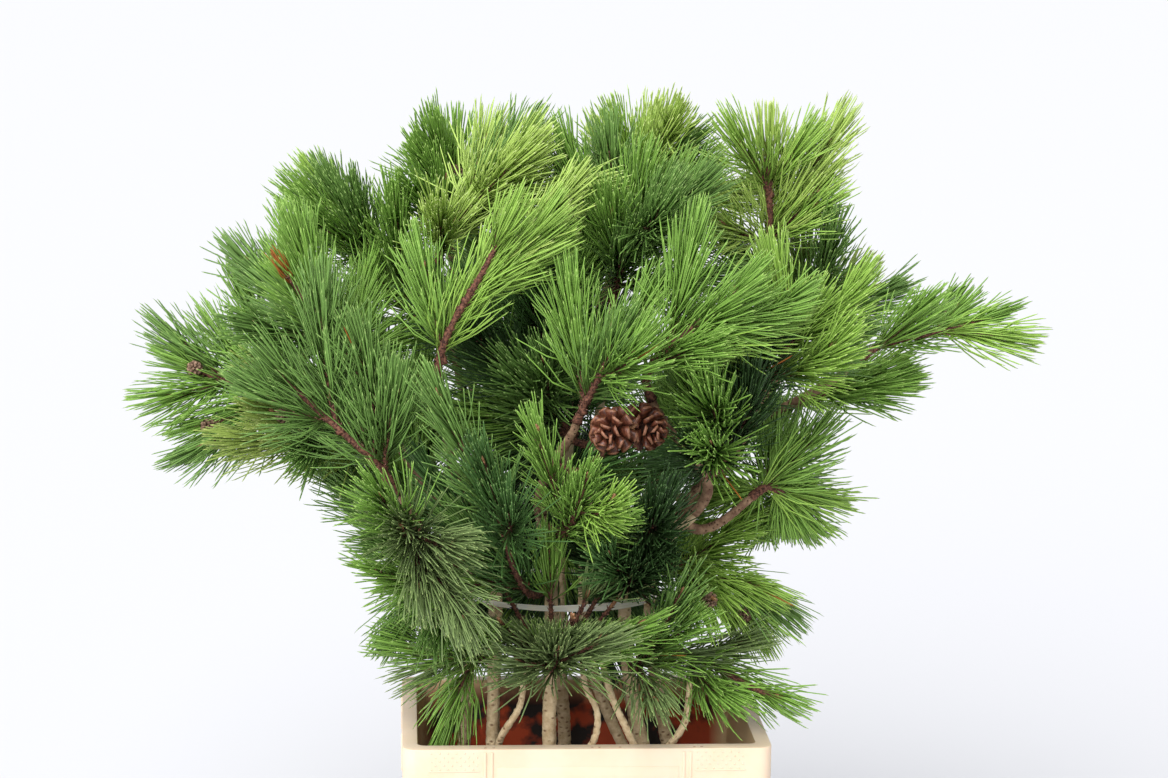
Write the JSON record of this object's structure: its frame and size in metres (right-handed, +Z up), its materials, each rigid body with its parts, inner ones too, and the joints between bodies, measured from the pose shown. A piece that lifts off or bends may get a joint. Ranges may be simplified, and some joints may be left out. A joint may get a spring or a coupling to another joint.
{
  "type": "bunch of cut mugo pine branches in a crate",
  "caption": "Full bushy bunch of cut mugo pine branches with long needles and brown cones, tied with a flat band and standing in a cream rectangular plastic crate.",
  "frame": {"origin": "centre of the crate's flat underside", "axes": "+Z up, +X to the right along the crate's long side as the picture shows it, +Y to the back, away from the camera"},
  "size_m": [0.8932, 0.6113, 0.9262],
  "materials": {
    "cream_plastic": "moulded, satin, slightly translucent",
    "band_rubber": "matt",
    "bark": "rough bark with leaf scars",
    "needles": "waxy green needles on red-brown twigs"
  },
  "bodies": {
    "root": {"crate": "cream_plastic", "elastic_band": "band_rubber", "stem_front_left": "bark", "stem_front": "bark", "stem_middle": "bark", "stem_front_right": "bark", "stem_right": "bark", "stem_left": "bark", "stem_back_left": "bark", "stem_back": "bark", "stem_back_right": "bark", "bough_far_left": "bark", "bough_left_shoulder": "bark", "bough_left_front": "bark", "bough_front_plume": "bark", "bough_center_front": "bark", "bough_top_left": "bark", "bough_left_plume": "bark", "bough_top_center": "bark", "bough_right_plume": "bark", "bough_right_mid": "bark", "bough_right_front": "bark", "bough_right_arm": "bark", "bough_upper_right": "bark", "bough_right_back": "bark", "foliage_far_left": "needles", "foliage_left_low": "needles", "foliage_left_shoulder": "needles", "foliage_left_front": "needles", "foliage_left_fan": "needles", "foliage_left_rosette": "needles", "foliage_front_plume": "needles", "foliage_center_front": "needles", "foliage_cone_twig": "needles", "foliage_center_rosette": "needles", "foliage_left_plume": "needles", "foliage_top_left": "needles", "foliage_left_back": "needles", "foliage_center_dark": "needles", "foliage_center_upper": "needles", "foliage_top_center": "needles", "foliage_right_plume": "needles", "foliage_right_inner": "needles", "foliage_right_mid_upper": "needles", "foliage_right_arm": "needles", "foliage_right_arm_low": "needles", "foliage_right_mid": "needles", "foliage_upper_right": "needles", "foliage_right_back": "needles", "foliage_back_center": "needles", "foliage_back_left": "needles", "foliage_back_right": "needles", "foliage_low_left": "needles", "foliage_low_left_front": "needles", "foliage_waist_front": "needles", "foliage_low_right": "needles", "foliage_right_hanging": "needles", "foliage_crate_right": "needles", "foliage_back_low": "needles", "foliage_center_low": "needles"}
  },
  "joints": []
}
